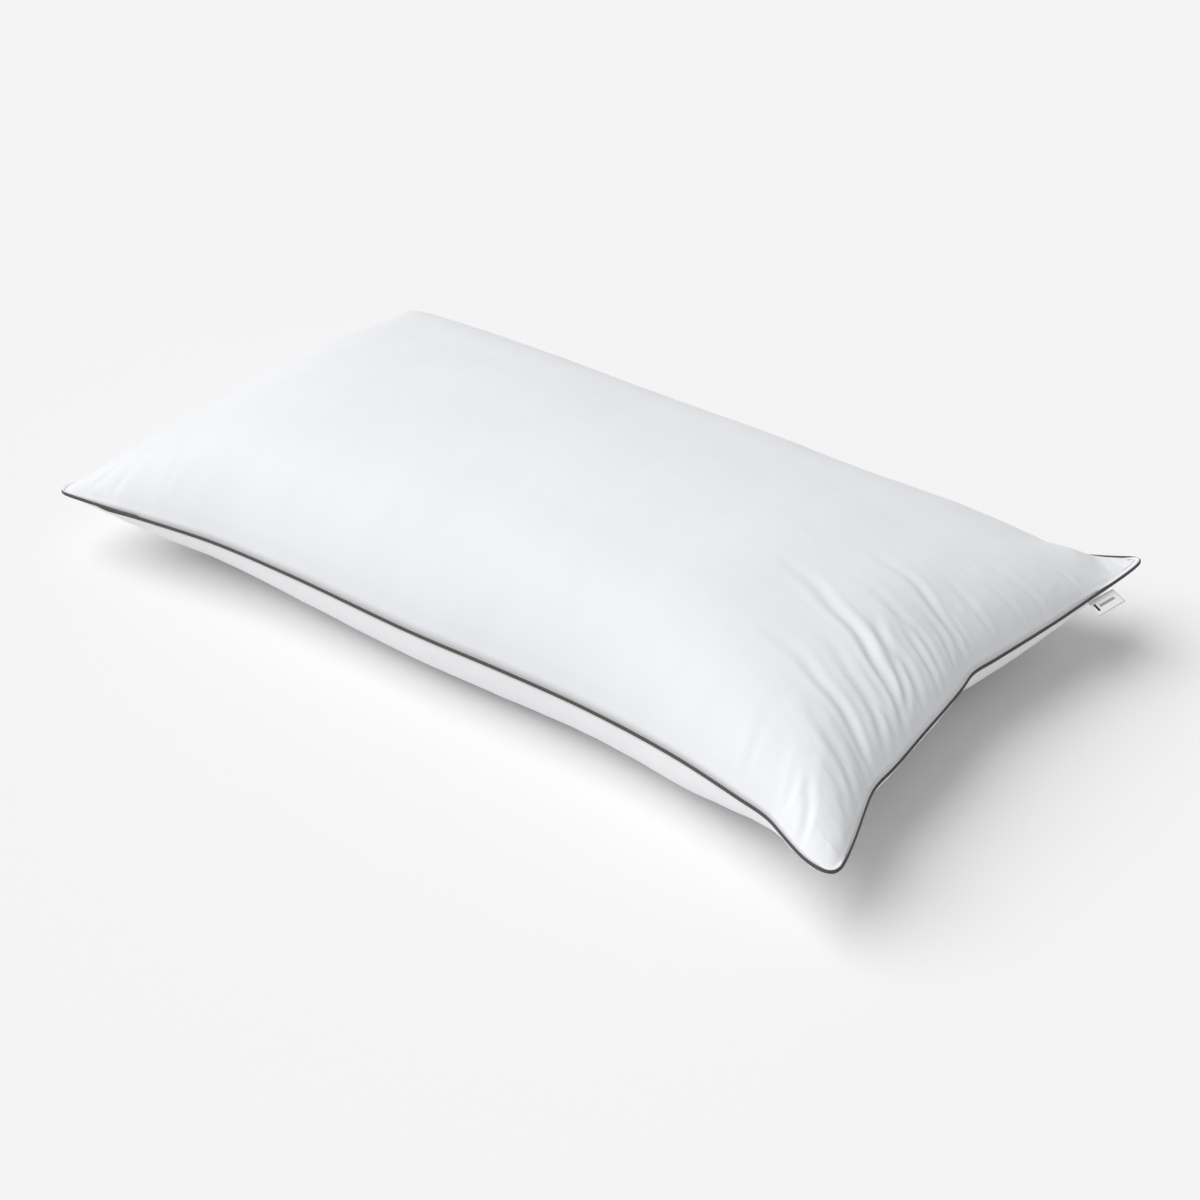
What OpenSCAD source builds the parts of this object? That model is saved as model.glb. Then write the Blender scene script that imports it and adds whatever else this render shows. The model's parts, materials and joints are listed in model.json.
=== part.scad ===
// Filled king-size bed pillow: two cotton panels, a piped seam all the way
// round, a folded label caught in the seam, and one mass of fibre filling.
// Frame: +Z up, Z = 0 on the surface the pillow rests on, origin under the
// middle of the pillow, X along the long side, Y along the short side.
// Every piece near the edge is placed by two numbers: "inset", the distance
// inward from the centre line of the piping, and "lift", the height above the
// plane of the seam. The centre line itself is eight tangent arcs in that
// plane: four shallow arcs bowed inward and four small ones round the tips.

/* [Filled pillow] */
// Length over the piping, tip to tip
filled_length = 884; // [700:4:980]
// Width over the piping, tip to tip
filled_width = 494; // [410:4:600]
// Height of the plane of the seam above the rest surface
seam_height = 76; // [58:1:88]
// Rise of the upper side above its edge, at the middle
crown_rise = 91; // [70:1:126]
// How far the middle of each long edge pulls in from the tips
long_pull = 41; // [20:1:60]
// How far the middle of each short edge pulls in from the tips
short_pull = 30; // [15:1:45]
// Radius of the piping centre line round each tip
tip_radius = 20; // [18:1:30]

/* [Cloth and seam] */
// Thickness of the panel cloth, with its nap
cloth_gauge = 0.5; // [0.3:0.1:0.8]
// Width of the seam allowance turned inside
allowance_width = 8.5; // [7:0.5:12]
// Thickness of a lockstitch thread lying on the seam allowance
thread_dia = 0.5; // [0.3:0.1:0.6]
// Length of the opening left in one short edge for filling
filling_gap = 220; // [120:10:260]

/* [Piping] */
// Outside diameter of the piping
piping_dia = 3.4; // [3.2:0.1:5]
// Thickness of the bias cloth wrapped round the filler cord
cover_gauge = 0.4; // [0.3:0.05:0.5]

/* [Side label] */
// Length of the label along the seam
label_length = 33; // [20:1:45]
// Reach of the label beyond the piping
label_reach = 16; // [10:1:30]
// Distance from the tip to the middle of the label
label_from_tip = 62; // [50:1:110]
// Angle by which the label hangs below the level
label_droop = 17; // [5:1:40]

/* [Hidden] */

white = [0.93, 0.94, 0.95];
charcoal = [0.25, 0.23, 0.22];
thread_white = [0.86, 0.87, 0.88];
fibre = [0.97, 0.96, 0.92];

air = 0.05;                 // between layers pressed together by the seam
cover_r = piping_dia / 2;
cover_steps = 10;           // facets round the piping
cord_r = (cover_r - cover_gauge) * cos(180 / cover_steps) - air;
thread_r = thread_dia / 2;
label_ply = 0.35;           // both plies of the folded label together
label_ease = 0.1;           // between the label and the piping it curls under
hinge_room = 0.35;          // between the flap's rolled edge and the tail
hinge_angle = 236;          // place of the hinge round the piping, 180 is out

// centre line of the piping: tips, arc centres and arc angles
half_x = filled_length / 2 - cover_r;
half_y = filled_width / 2 - cover_r;
tip_x = half_x - tip_radius;
tip_y = half_y - tip_radius;
long_half = 2 * atan(long_pull / tip_x);
short_half = 2 * atan(short_pull / tip_y);
long_r = tip_x / sin(long_half) - tip_radius;
short_r = tip_y / sin(short_half) - tip_radius;
long_c = tip_y + (long_r + tip_radius) * cos(long_half);
short_c = tip_x + (short_r + tip_radius) * cos(short_half);

// steps of the mesh along half an edge and round a tip
long_steps = 8;
tip_steps = 4;
short_steps = 6;

// seam stack, as lifts above and below the plane of the seam
tape_top = cover_gauge;
upper_low = tape_top + air;
upper_high = upper_low + cloth_gauge;
label_top = -tape_top - air;
label_low = label_top - label_ply;
lower_high = label_low - air;
lower_low = lower_high - cloth_gauge;
// straight facets stand out from a true arc by this much on a short edge
facet_sag = short_r * (1 - cos(short_half / short_steps / 2));
label_side = sqrt(pow(cover_r + label_ease + label_ply, 2) - pow(lower_high, 2));
fold_inset = label_side + facet_sag + air;
raw_inset = fold_inset + allowance_width;
stitch_inset = fold_inset + cloth_gauge + 0.9;
edge_lift = upper_high + 2.1;
wrap = 0.25;                // build-up of the overedge stitches

// panel mesh: rings from the fold to the middle
rings_by_inset = [fold_inset + 2, fold_inset + 5, raw_inset + 2.5];
rings_by_scale = [0.965, 0.92, 0.86, 0.78, 0.68, 0.55, 0.38, 0.2];
ring_count = len(rings_by_inset) + len(rings_by_scale);
power = 2.4;                // flatness of the crown over the middle
rounding = 0.47;            // steepness of the sides
belly_drop = 106;           // how far the lower side would hang if unsupported
fill_air = 0.4;

// one quadrant of the edge as [x, y, towards-outside x, y, across u, across v]
function long_pts(inset) = [
    for (i = [0 : long_steps - 1])
    let (a = long_half * i / long_steps)
    [(long_r + inset) * sin(a), long_c - (long_r + inset) * cos(a), 1]];
function tip_pts(inset) = [
    for (i = [0 : tip_steps])
    let (a = 90 + long_half - (90 + long_half + short_half) * i / tip_steps,
         r = tip_radius - inset)
    [tip_x + r * cos(a), tip_y + r * sin(a), i * 2 < tip_steps ? 1 : 0]];
function short_pts(inset) = [
    for (i = [1 : short_steps])
    let (a = short_half * (1 - i / short_steps))
    [short_c - (short_r + inset) * cos(a), (short_r + inset) * sin(a), 0]];
function quadrant(inset) =
    concat(long_pts(inset), tip_pts(inset), short_pts(inset));

// the whole edge, clockwise seen from above, starting at the middle of +Y
function turned(q, sx, sy, backward) = [
    for (i = [0 : len(q) - 2])
    let (p = q[backward ? len(q) - 1 - i : i])
    [sx * p[0], sy * p[1], p[2]]];
function edge_loop(inset) =
    let (q = quadrant(inset))
    concat(
        turned(q, 1, 1, false), turned(q, 1, -1, true),
        turned(q, -1, -1, false), turned(q, -1, 1, true));

loop_size = len(edge_loop(0));
base_loop = edge_loop(rings_by_inset[0]);
tip_ref = half_x - tip_radius * (1 - cos(45)) - rings_by_inset[0];
tip_ref_y = half_y - tip_radius * (1 - cos(45)) - rings_by_inset[0];

// where an edge point sits on the rim of the unit square of the crown
function square_u(p) = p[2] == 1 ? min(1, abs(p[0]) / tip_ref) : 1;
function square_v(p) = p[2] == 1 ? 1 : min(1, abs(p[1]) / tip_ref_y);
function bulge(u, v) =
    pow(max(0, (1 - pow(u, power)) * (1 - pow(v, power))), rounding);

last_inset_ring = len(rings_by_inset) - 1;
last_inset = rings_by_inset[last_inset_ring];
function ring_scale(k) =
    k <= last_inset_ring ? 1 : rings_by_scale[k - last_inset_ring - 1];

// plan of ring k, moved inward by "skin", and how full the crown is there
function ring_plan(k, skin) = edge_loop(rings_by_inset[min(k, last_inset_ring)] + skin);
function shrink(k, i, loop) =
    norm([loop[i][0], loop[i][1]]) / norm([base_loop[i][0], base_loop[i][1]])
    * ring_scale(k);
function ring_bulge(k) =
    let (loop = ring_plan(k, 0))
    [for (i = [0 : loop_size - 1])
        let (s = shrink(k, i, loop), p = base_loop[i])
        bulge(square_u(p) * s, square_v(p) * s)];
bulges = [for (k = [0 : ring_count - 1]) ring_bulge(k)];

function upper_lift(b, skin) = seam_height + edge_lift + crown_rise * b - skin;
function lower_lift(b, skin) =
    max(skin, seam_height - edge_lift + lower_high - belly_drop * b + skin);

function ring_points(k, skin, upper) =
    let (loop = ring_plan(k, skin), f = ring_scale(k))
    [for (i = [0 : loop_size - 1])
        [loop[i][0] * f, loop[i][1] * f,
         upper ? upper_lift(bulges[k][i], skin) : lower_lift(bulges[k][i], skin)]];
function flat_loop(inset, lift) = [
    for (p = edge_loop(inset)) [p[0], p[1], seam_height + lift]];

// faces of a stack of closed loops capped by one middle point at each end;
// strips before "fold" and after it run opposite ways over the same rings, so
// they take opposite diagonals and nested skins never cross
function strip_faces(loops, n, fold) = [
    for (k = [0 : loops - 2])
    for (i = [0 : n - 1])
    let (j = (i + 1) % n, a = k * n, b = (k + 1) * n)
    for (half = [0, 1])
    k < fold
        ? (half == 0 ? [a + i, b + i, b + j] : [a + i, b + j, a + j])
        : (half == 0 ? [a + i, b + i, a + j] : [b + i, b + j, a + j])];
function cap_faces(first, middle, n, flip) = [
    for (i = [0 : n - 1])
    let (j = (i + 1) % n)
    flip ? [first + j, first + i, middle] : [first + i, first + j, middle]];

module lofted(loops, fold, start_point, end_point, flip) {
    n = len(loops[0]);
    total = len(loops) * n;
    points = concat([for (l = loops) each l], [start_point, end_point]);
    faces = concat(
        strip_faces(len(loops), n, fold),
        cap_faces(0, total, n, false),
        cap_faces(total - n, total + 1, n, true));
    polyhedron(points, flip ? [for (f = faces) [f[2], f[1], f[0]]] : faces);
}

// a panel: outer skin, fold beside the piping, allowance, inner skin
module panel(upper) {
    side = upper ? 1 : -1;
    near = upper ? upper_low : lower_high;
    far = upper ? upper_high : lower_low;
    turn = fold_inset + cloth_gauge;
    wall = near + side * 1.4;
    outer = [for (k = [ring_count - 1 : -1 : 0]) ring_points(k, 0, upper)];
    inner = [for (k = [0 : ring_count - 1]) ring_points(k, cloth_gauge, upper)];
    hem = [
        flat_loop(fold_inset, wall), flat_loop(fold_inset, near),
        flat_loop(raw_inset, near), flat_loop(raw_inset, far),
        flat_loop(turn, far), flat_loop(turn, wall - side * 0.1)];
    lofted(
        concat(outer, hem, inner), ring_count,
        [0, 0, upper ? upper_lift(1, 0) : lower_lift(1, 0)],
        [0, 0, upper ? upper_lift(1, cloth_gauge) : lower_lift(1, cloth_gauge)],
        !upper);
}

// the filling: both inner skins, eased in, joined by a wall behind the seam
module filling() {
    skin = cloth_gauge + fill_air;
    first = last_inset_ring;
    up = [for (k = [ring_count - 1 : -1 : first]) ring_points(k, skin, true)];
    down = [for (k = [first : ring_count - 1]) ring_points(k, skin, false)];
    lofted(
        concat(up, down), len(up),
        [0, 0, upper_lift(1, skin)], [0, 0, lower_lift(1, skin)], false);
}

// closed strip swept along the edge: profile points are [inset, lift] and go
// round anticlockwise when inward is drawn to the right
module swept(profile, skip) {
    m = len(profile);
    closed = skip == 0;
    n = closed ? loop_size : loop_size - 2 * skip + 1;
    first = closed ? 0 : gap_middle + skip;
    points = [
        for (p = profile)
        let (loop = edge_loop(p[0]))
        for (i = [0 : n - 1])
        let (e = loop[(first + i) % loop_size])
        [e[0], e[1], seam_height + p[1]]];
    strips = [
        for (k = [0 : m - 1])
        for (i = [0 : n - (closed ? 1 : 2)])
        let (j = (i + 1) % n, a = k * n, b = (k + 1) % m * n)
        for (half = [0, 1])
        half == 0 ? [a + i, b + i, b + j] : [a + i, b + j, a + j]];
    ends = closed ? [] : [
        [for (k = [m - 1 : -1 : 0]) k * n],
        [for (k = [0 : m - 1]) k * n + n - 1]];
    polyhedron(points, concat(strips, ends));
}

// profile points on a circle, from one angle to another
function arc_pts(r, from, to, steps, mid = [0, 0]) = [
    for (i = [0 : steps])
    let (a = from + (to - from) * i / steps)
    [mid[0] + r * cos(a), mid[1] + r * sin(a)]];
function round_profile(r, steps, mid) =
    arc_pts(r, 0, 360 - 360 / steps, steps - 1, mid);

// the filling gap in the middle of the -X edge, in whole steps of the mesh
gap_middle = 3 * (long_steps + tip_steps + short_steps);
step_angle = short_half / short_steps;
step_length = step_angle * PI / 180 * short_r;
gap_steps = max(1, round(filling_gap / 2 / step_length));

// exact sweep of a flat profile along part of a short edge, by angle from
// its middle
module along_short(sx, from, to) {
    translate([sx * short_c, 0, seam_height])
        rotate([0, 0, (sx > 0 ? 180 : 0) + from])
            rotate_extrude(angle = to - from, $fn = 360)
                translate([short_r, 0])
                    children();
}

module box2(x0, x1, y0, y1) {
    translate([x0, y0])
        square([x1 - x0, y1 - y0]);
}

module top_panel() {
    color(white) panel(true);
}

module bottom_panel() {
    color(white) panel(false);
}

// bias strip: down one tail, round the cord and back along the other tail
module piping_cover() {
    slit = 0.05;
    inner_r = cover_r - cover_gauge;
    out_a = asin(tape_top / cover_r);
    in_a = asin(slit / inner_r);
    profile = concat(
        [[raw_inset, tape_top]],
        arc_pts(cover_r, out_a, 360 - out_a, cover_steps),
        [[raw_inset, -tape_top], [raw_inset, -slit]],
        arc_pts(inner_r, 360 - in_a, in_a, cover_steps),
        [[raw_inset, slit]]);
    color(charcoal) swept(profile, 0);
}

module piping_cord() {
    color(fibre) swept(round_profile(cord_r, cover_steps, [0, 0]), 0);
}

module seam_line(lift) {
    color(thread_white)
        swept(round_profile(thread_r, 6, [stitch_inset, lift]), gap_steps);
}

module seam_needle_thread() {
    seam_line(upper_high + air + thread_r);
}

module seam_bobbin_thread() {
    seam_line(lower_low - air - thread_r);
}

// the opening is sewn shut after filling, with a stitch line on each face
module closing_line(lift) {
    half = gap_steps * step_angle - 1.5 / short_r * 180 / PI;
    color(thread_white)
        along_short(-1, -half, half)
            translate([stitch_inset, lift])
                circle(r = thread_r, $fn = 16);
}

module closing_needle_thread() {
    closing_line(upper_high + air + thread_r);
}

module closing_bobbin_thread() {
    closing_line(lower_low - air - thread_r);
}

// overedge stitches wrapped round the raw edges of the seam stack
module overedge_thread() {
    start = raw_inset - 4.5;
    edge = raw_inset + air;
    low = lower_low - air;
    high = upper_high + air;
    profile = [
        [start, low - wrap], [edge + wrap, low - wrap],
        [edge + wrap, high + wrap], [start, high + wrap],
        [start, high], [edge, high], [edge, low], [start, low]];
    color(thread_white) swept(profile, 0);
}

// the tail curls under the piping and stops short of the hinge
hug_r = cover_r + label_ease;
hug_end = hinge_angle + 16;
hug_steps = 6;
tail_reach = allowance_width - 1.5;

// the label: hinge line just outside and below the piping
hinge_r = hug_r + label_ply * 1.5 + hinge_room;
hinge_inset = hinge_r * cos(hinge_angle);
hinge_lift = hinge_r * sin(hinge_angle);
label_y = filled_width / 2 - label_from_tip;
label_angle = asin(label_y / short_r);
label_mid = [
    short_c - (short_r + hinge_inset) * cos(label_angle),
    (short_r + hinge_inset) * sin(label_angle)];

module label_at() {
    translate([label_mid[0], label_mid[1], seam_height + hinge_lift])
        rotate([0, 0, -label_angle])
            children();
}

module label_flap() {
    color(white)
        label_at()
            rotate([0, label_droop, 0])
                rotate([90, 0, 0])
                    linear_extrude(label_length, center = true) {
                        circle(r = label_ply / 2, $fn = 24);
                        box2(0, label_reach, -label_ply / 2, label_ply / 2);
                    }
}

// the part of the label held in the seam, curling under the piping
module tail_profile() {
    out_r = hug_r + label_ply;
    polygon(concat(
        [[fold_inset + tail_reach, label_top]],
        arc_pts(hug_r, 360 + asin(label_top / hug_r), hug_end, hug_steps),
        arc_pts(out_r, hug_end, 360 + asin(label_low / out_r), hug_steps),
        [[fold_inset + tail_reach, label_low]]));
}

module label_tail() {
    half = label_length / 2 / short_r * 180 / PI;
    color(white)
        along_short(1, -label_angle - half, -label_angle + half)
            tail_profile();
}

module fibre_fill() {
    color(fibre) filling();
}

top_panel();
bottom_panel();
piping_cover();
piping_cord();
seam_needle_thread();
seam_bobbin_thread();
closing_needle_thread();
closing_bobbin_thread();
overedge_thread();
label_flap();
label_tail();
fibre_fill();
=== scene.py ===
# %% [markdown]
# # A filled bed pillow, piece by piece
# A pillow is two cut sheets of cloth, a piped seam, a label caught in the
# seam, and loose filling. This file makes each of them as it is made in a
# sewing room: the seam line comes first, because every piece hangs on it,
# then the cloth is blown up by simulation, and the small sewn pieces follow.

import json
import math

import bmesh
import bpy
import numpy as np
from mathutils import Matrix, Vector


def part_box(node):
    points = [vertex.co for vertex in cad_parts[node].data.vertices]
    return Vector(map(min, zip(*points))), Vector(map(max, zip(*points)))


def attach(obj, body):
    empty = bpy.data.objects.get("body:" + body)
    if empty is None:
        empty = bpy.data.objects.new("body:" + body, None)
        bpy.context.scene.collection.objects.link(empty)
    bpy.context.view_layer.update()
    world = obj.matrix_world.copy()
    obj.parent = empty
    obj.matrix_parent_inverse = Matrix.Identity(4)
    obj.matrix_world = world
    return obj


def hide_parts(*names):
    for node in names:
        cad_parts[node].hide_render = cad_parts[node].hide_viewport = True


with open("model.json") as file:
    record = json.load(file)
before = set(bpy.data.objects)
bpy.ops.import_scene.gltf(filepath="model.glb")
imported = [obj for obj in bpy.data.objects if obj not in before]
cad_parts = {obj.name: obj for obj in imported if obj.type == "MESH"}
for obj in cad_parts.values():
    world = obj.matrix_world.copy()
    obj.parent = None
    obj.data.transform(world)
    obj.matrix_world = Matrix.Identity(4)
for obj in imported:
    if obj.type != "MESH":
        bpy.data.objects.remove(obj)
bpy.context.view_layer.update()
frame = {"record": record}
MM = 0.001

# %% [markdown]
# ## Where the pillow is
# The CAD model fixes the size. The box of the piping gives the piping's
# thickness, the four tips and the height of the seam.

# %% Measures read from the frame
pipe_low, pipe_high = (Vector(c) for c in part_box("piping_cover"))
PIPE_R = (pipe_high.z - pipe_low.z) / 2
SEAM_Z = (pipe_high.z + pipe_low.z) / 2
TIP_X = pipe_high.x - PIPE_R
TIP_Y = pipe_high.y - PIPE_R
print(f"tips at {TIP_X:.4f} {TIP_Y:.4f}, seam at {SEAM_Z:.4f}")

# %% [markdown]
# ## Camera
# The pillow is seen from its front right, from above. A 57 mm lens on a
# 36 mm sensor keeps the edges nearly parallel, as a product shot does.

# %% Camera
CAMERA_AZIMUTH = math.radians(39.18)
CAMERA_ELEVATION = math.radians(34.55)
CAMERA_ROLL = math.radians(-0.94)
CAMERA_DISTANCE = 1.74775
LENS, SENSOR = 57, 36   # mm
AIM_SIDE, AIM_UP, AIM_HEIGHT = 19.8 * MM, -72.65 * MM, 76.5 * MM

back = Vector((
    math.sin(CAMERA_AZIMUTH) * math.cos(CAMERA_ELEVATION),
    -math.cos(CAMERA_AZIMUTH) * math.cos(CAMERA_ELEVATION),
    math.sin(CAMERA_ELEVATION)))
across = Vector((math.cos(CAMERA_AZIMUTH), math.sin(CAMERA_AZIMUTH), 0))
upward = back.cross(across)
aim = Vector((0, 0, AIM_HEIGHT)) + across * AIM_SIDE + upward * AIM_UP
camera_data = bpy.data.cameras.new("camera")
camera_data.lens = LENS
camera_data.sensor_width = SENSOR
camera = bpy.data.objects.new("camera", camera_data)
turned = Matrix((across, upward, back)).transposed().to_4x4()
camera.matrix_world = (
    Matrix.Translation(aim + back * CAMERA_DISTANCE)
    @ turned @ Matrix.Rotation(CAMERA_ROLL, 4, "Z"))
bpy.context.scene.collection.objects.link(camera)
bpy.context.scene.camera = camera
print("camera at", tuple(round(c, 3) for c in camera.matrix_world.translation))

# %% [markdown]
# ## Colours and nodes
# Colours are written as the hex values a designer uses, and one function
# turns them into the linear light that a shader adds up. One small function
# adds a shader node, with its settings and its links.

# %% Helpers for materials
def linear(code):
    """An sRGB hex colour as linear red, green, blue and alpha."""
    channels = [int(code[i:i + 2], 16) / 255 for i in (1, 3, 5)]
    return tuple(
        c / 12.92 if c <= 0.04045 else ((c + 0.055) / 1.055) ** 2.4
        for c in channels) + (1.0,)


def add(material, kind, settings=None, links=None):
    """A new node. Settings are its properties or its sockets' values."""
    tree = material.node_tree
    node = tree.nodes.new(kind)
    for key, value in (settings or {}).items():
        if isinstance(key, str) and hasattr(node, key):
            setattr(node, key, value)
        else:
            node.inputs[key].default_value = value
    for socket, (source, output) in (links or {}).items():
        tree.links.new(source.outputs[output], node.inputs[socket])
    return node


def new_material(name):
    """An empty material and its output node."""
    material = bpy.data.materials.new(name)
    material.use_nodes = True
    material.node_tree.nodes.clear()
    return material


def finish_material(material, settings, links):
    """The Principled shader with its settings, joined to the output."""
    shader = add(material, "ShaderNodeBsdfPrincipled", settings, links)
    add(material, "ShaderNodeOutputMaterial", None, {"Surface": (shader, "BSDF")})
    return material


print("white as light", linear("#ffffff")[:3])

# %% [markdown]
# ## Studio
# A pale floor that fills the view, an even sky, and one broad light from
# the front left. A sun lamp with a wide angle lights the whole floor
# alike and still gives a soft shadow on the near right side. The colours
# are shown as they are, with no film curve.

# %% Floor and light
FLOOR_SIZE = 14.0
KEY_AZIMUTH = math.radians(216)
KEY_ELEVATION = math.radians(54)
KEY_ANGLE = math.radians(62)    # a broad light casts a soft shadow
KEY_STRENGTH = 2.54
SKY_STRENGTH = 0.43

floor_mesh = bpy.data.meshes.new("floor")
floor_shape = bmesh.new()
bmesh.ops.create_grid(floor_shape, x_segments=2, y_segments=2, size=FLOOR_SIZE / 2)
bmesh.ops.translate(floor_shape, verts=floor_shape.verts, vec=(0, 0, -0.2 * MM))
floor_shape.to_mesh(floor_mesh)
floor_shape.free()
floor = bpy.data.objects.new("floor", floor_mesh)
bpy.context.scene.collection.objects.link(floor)
paper = new_material("matte_backdrop_paper")
finish_material(
    paper, {"Base Color": linear("#ebebeb"), "Roughness": 1.0,
            "Specular IOR Level": 0.0}, {})
floor_mesh.materials.append(paper)

sky = bpy.data.worlds.new("soft_sky")
sky.use_nodes = True
glow = sky.node_tree.nodes["Background"]
glow.inputs["Color"].default_value = linear("#ffffff")
glow.inputs["Strength"].default_value = SKY_STRENGTH
bpy.context.scene.world = sky
key_data = bpy.data.lights.new("broad_key", "SUN")
key_data.energy = KEY_STRENGTH
key_data.angle = KEY_ANGLE
key = bpy.data.objects.new("broad_key", key_data)
key.rotation_euler = Vector((
    math.cos(KEY_ELEVATION) * math.cos(KEY_AZIMUTH),
    math.cos(KEY_ELEVATION) * math.sin(KEY_AZIMUTH),
    math.sin(KEY_ELEVATION))).to_track_quat("Z", "Y").to_euler()
bpy.context.scene.collection.objects.link(key)
bpy.context.scene.view_settings.view_transform = "Standard"
print("floor, sky and one broad light")

# %% [markdown]
# ## The seam line
# Everything on a pillow hangs on its seam. Filling draws the middle of each
# edge inward, so the tips stand out as ears. The near right edge has two
# tucks, where the cloth was caught while it was sewn. Each edge is drawn from
# a few places along it and how far it is pulled in there, in millimetres, and
# in the same way for its height.

# %% Edges from tip to tip
EDGE_PULL = {
    "front": [(-1, 0), (-0.76, 16), (-0.57, 29), (-0.37, 34.5), (0, 38),
              (0.2, 43), (0.4, 45), (0.6, 39.5), (0.76, 28), (0.83, 22.5),
              (0.89, 11), (0.95, 1), (1, 0)],
    "right": [(-1, 0), (-0.84, 11.5), (-0.72, 22), (-0.62, 29.5), (-0.5, 30),
              (-0.3, 32.5), (-0.12, 35), (-0.03, 37), (0.05, 40), (0.16, 35),
              (0.5, 20.5), (0.65, 15), (0.8, 9), (1, 0)],
    "back": [(-1, 0), (-0.7, 24), (-0.3, 40), (0.3, 40), (0.7, 24), (1, 0)],
    "left": [(-1, 0), (-0.6, 19), (0, 29), (0.6, 19), (1, 0)]}
EDGE_LIFT = {
    "front": [(-1, -10.5), (-0.7, -9), (0, -10), (0.5, -8.5), (0.85, -7),
              (0.95, -8.5), (1, -6.5)],
    "right": [(-1, -6.5), (-0.6, -3.5), (-0.2, 1), (0.1, 2), (0.7, 2),
              (0.9, 4), (1, 8)],
    "back": [(-1, -12), (0, -12), (0.6, -10), (0.85, -8), (0.94, 0), (1, 8)],
    "left": [(-1, -10.5), (0, -5), (1, -12)]}


def smooth_through(points, at):
    """A smooth line through a few (place, value) points, read at the places."""
    x, y = np.array(points, float).T
    slope = np.gradient(y, x)
    k = np.clip(np.searchsorted(x, at, side="right") - 1, 0, len(x) - 2)
    span = x[k + 1] - x[k]
    s = (at - x[k]) / span
    return (
        (1 + 2 * s) * (1 - s) ** 2 * y[k] + s * (1 - s) ** 2 * span * slope[k]
        + s * s * (3 - 2 * s) * y[k + 1] + s * s * (s - 1) * span * slope[k + 1])


def edge_line(name, half_x, half_y, at):
    """One edge of the seam, from its -1 end to its +1 end."""
    pull = smooth_through(EDGE_PULL[name], at) * MM
    z = SEAM_Z + smooth_through(EDGE_LIFT[name], at) * MM
    if name in ("front", "back"):
        side = -1 if name == "front" else 1
        return np.stack([half_x * at, side * (half_y - pull), z], 1)
    side = 1 if name == "right" else -1
    return np.stack([side * (half_x - pull), half_y * at, z], 1)


# %% [markdown]
# The four edges are joined anticlockwise, starting at the front left tip, and
# spaced evenly. The tips are then rounded by averaging along the line, which
# is what a turned corner does to stiff piping.

# %% One closed line with rounded tips
SEAM_STEPS = 1600
TIP_SPARE = 4 * MM      # rounding takes this much off a sharp tip
TIP_ROUNDING = 10.5 * MM
EDGE_ROUNDING = 4 * MM
TIP_ZONE = 40 * MM      # how far a tip's rounding reaches, and fades over
AVERAGING_STEPS = 60    # points to each side that an average takes in
EDGE_POINTS = 700


def spaced(line, count):
    """A closed line with evenly spaced points, and its length."""
    closed = np.vstack([line, line[:1]])
    run = np.r_[0, np.cumsum(np.linalg.norm(np.diff(closed, axis=0), axis=1))]
    at = np.linspace(0, run[-1], count, endpoint=False)
    return np.stack([np.interp(at, run, closed[:, i]) for i in range(3)], 1), run[-1]


def averaged(line, length, reach):
    """A closed line averaged along itself over a given reach."""
    step = length / len(line)
    offsets = np.arange(-AVERAGING_STEPS, AVERAGING_STEPS + 1)
    weights = np.exp(-0.5 * (offsets * step / reach) ** 2)
    weights /= weights.sum()
    return sum(np.roll(line, -k, axis=0) * w for k, w in zip(offsets, weights))


def rounded_loop(half_x, half_y, edges):
    """Four edges joined, spaced and rounded at the tips."""
    along = np.linspace(-1, 1, EDGE_POINTS)
    parts = [edges("front", along), edges("right", along),
             edges("back", -along), edges("left", -along)]
    line, length = spaced(np.concatenate([p[:-1] for p in parts]), SEAM_STEPS)
    near_tip = np.hypot(
        abs(line[:, 0]) - half_x, abs(line[:, 1]) - half_y)[:, None]
    blend = np.clip((near_tip - TIP_ZONE) / TIP_ZONE, 0, 1)
    blend = blend * blend * (3 - 2 * blend)
    line = (averaged(line, length, TIP_ROUNDING) * (1 - blend)
            + averaged(line, length, EDGE_ROUNDING) * blend)
    return spaced(line, SEAM_STEPS)


seam, SEAM_LENGTH = rounded_loop(
    TIP_X + TIP_SPARE, TIP_Y + TIP_SPARE,
    lambda name, at: edge_line(name, TIP_X + TIP_SPARE, TIP_Y + TIP_SPARE, at))
print(f"seam {SEAM_LENGTH:.3f} m long, reaches {seam.max(0).round(4)}")

# %% [markdown]
# A place on the seam is a "turn" from 0 to 1. A piece beside the seam is set
# by its turn, its inset inward from the piping's centre and its lift above it,
# the same three numbers for every layer of the sewn edge.

# %% Places beside the seam
def corner_turns(line):
    """Turns of the four corners of a closed line, front left one first."""
    return [int(np.argmax(sx * line[:, 0] + sy * line[:, 1])) / len(line)
            for sx, sy in ((-1, -1), (1, -1), (1, 1), (-1, 1))]


def looked_up(values, turn):
    """Values kept along the closed line, read at any turn."""
    at = np.mod(np.asarray(turn, float), 1.0) * len(values)
    k = np.floor(at).astype(int)
    s = (at - k)[..., None]
    return values[k % len(values)] * (1 - s) + values[(k + 1) % len(values)] * s


def inward_of(line):
    """Unit vectors that point level and inward along a closed line."""
    ahead = np.roll(line, -3, axis=0) - np.roll(line, 3, axis=0)
    inward = np.stack([-ahead[:, 1], ahead[:, 0], 0 * ahead[:, 0]], 1)
    return inward / np.linalg.norm(inward, axis=1, keepdims=True)


TIPS = corner_turns(seam)
seam_inward = inward_of(seam)


def beside_seam(turn, inset, lift):
    """Points at a turn of the seam, moved inward and upward."""
    inset, lift = np.asarray(inset, float), np.asarray(lift, float)
    point = looked_up(seam, turn) + looked_up(seam_inward, turn) * inset[..., None]
    point[..., 2] += lift
    return point


print("tips at turns", [round(t, 4) for t in TIPS])

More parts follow.
